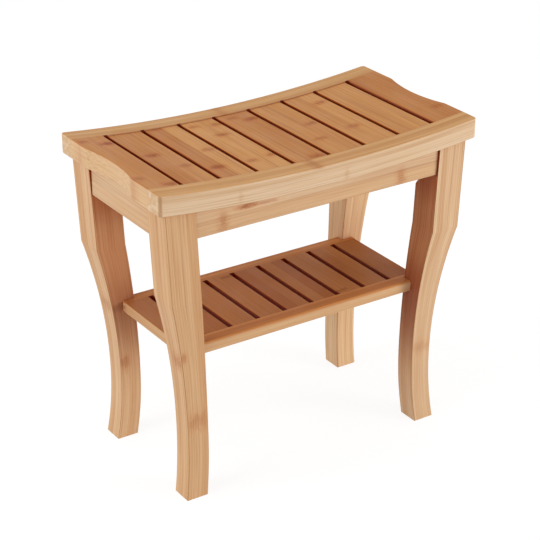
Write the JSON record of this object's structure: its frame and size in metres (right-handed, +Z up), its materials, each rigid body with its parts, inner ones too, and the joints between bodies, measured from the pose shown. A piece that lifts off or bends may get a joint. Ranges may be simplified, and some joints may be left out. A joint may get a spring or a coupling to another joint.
{
  "type": "shower bench",
  "caption": "Slatted bamboo shower bench with a dished seat, scooped ends, curved legs and a slatted storage shelf.",
  "frame": {"origin": "on the floor, under the middle of the seat", "axes": "+X along the seat's length, -Y towards the front, +Z up"},
  "size_m": [0.494, 0.26, 0.4579],
  "materials": {
    "bamboo": "satin lacquer",
    "zinc_steel": "zinc plated"
  },
  "bodies": {
    "root": {"seat_front_rail": "bamboo", "seat_rear_rail": "bamboo", "seat_end_slat_left": "bamboo", "seat_end_slat_right": "bamboo", "seat_slat_1": "bamboo", "seat_slat_2": "bamboo", "seat_slat_3": "bamboo", "seat_slat_4": "bamboo", "seat_slat_5": "bamboo", "seat_slat_6": "bamboo", "seat_slat_7": "bamboo", "leg_front_left": "bamboo", "leg_front_right": "bamboo", "leg_rear_left": "bamboo", "leg_rear_right": "bamboo", "apron_front": "bamboo", "apron_rear": "bamboo", "apron_left": "bamboo", "apron_right": "bamboo", "shelf_front_rail": "bamboo", "shelf_rear_rail": "bamboo", "shelf_end_slat_left": "bamboo", "shelf_end_slat_right": "bamboo", "shelf_slat_1": "bamboo", "shelf_slat_2": "bamboo", "shelf_slat_3": "bamboo", "shelf_slat_4": "bamboo", "shelf_slat_5": "bamboo", "shelf_slat_6": "bamboo", "shelf_slat_7": "bamboo", "shelf_dowels": "bamboo", "corner_bracket_front_left": "zinc_steel", "corner_bracket_front_right": "zinc_steel", "corner_bracket_rear_left": "zinc_steel", "corner_bracket_rear_right": "zinc_steel", "hanger_bolts": "zinc_steel", "bracket_washers": "zinc_steel", "bracket_nuts": "zinc_steel", "bracket_screws": "zinc_steel", "seat_screws": "zinc_steel"}
  },
  "joints": []
}
